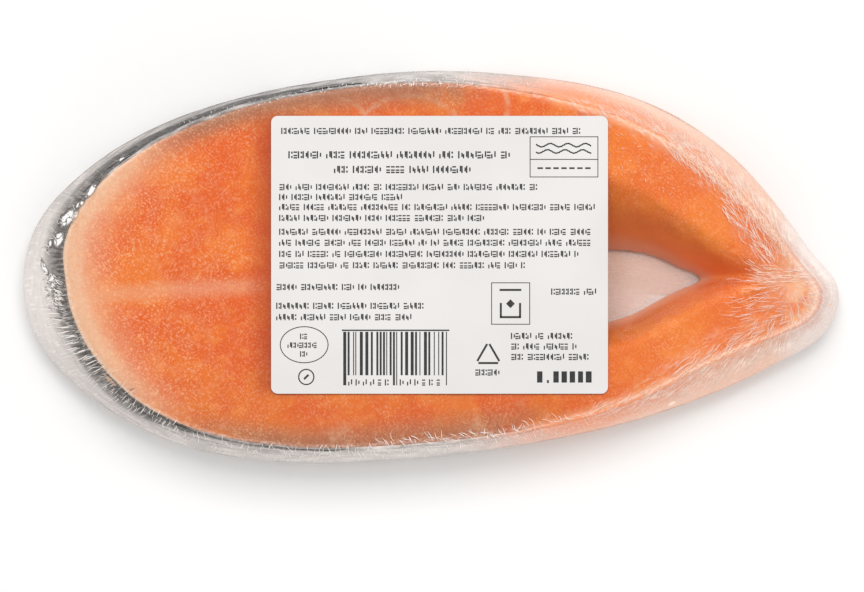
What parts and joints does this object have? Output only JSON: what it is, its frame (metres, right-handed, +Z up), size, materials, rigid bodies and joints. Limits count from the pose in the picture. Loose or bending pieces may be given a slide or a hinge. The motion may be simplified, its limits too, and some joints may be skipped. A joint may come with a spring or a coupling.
{
  "type": "shrink-wrapped frozen salmon steak",
  "caption": "Frozen salmon steak cut across the fish, sealed in tight clear film with a printed paper label on top, lying flat on its cut face.",
  "frame": {"origin": "middle of the pack's outline, on the surface it lies on", "axes": "+X from the back of the fish to the belly tip, +Y to the label print's upper edge, +Z up out of the labelled side"},
  "size_m": [0.198, 0.095, 0.0166],
  "materials": {
    "film": "clear tight shrink film, crinkled and frosted at the sides",
    "label_paper": "smooth white label paper",
    "label_ink": "flat black print",
    "salmon_flesh": "frozen raw salmon with a fine grain of frost",
    "salmon_skin": "frozen skin, dark silver at the back and white at the belly",
    "salmon_bone": "cut backbone"
  },
  "bodies": {
    "root": {"wrapped_steak": "film", "label": "label_paper"}
  },
  "joints": []
}
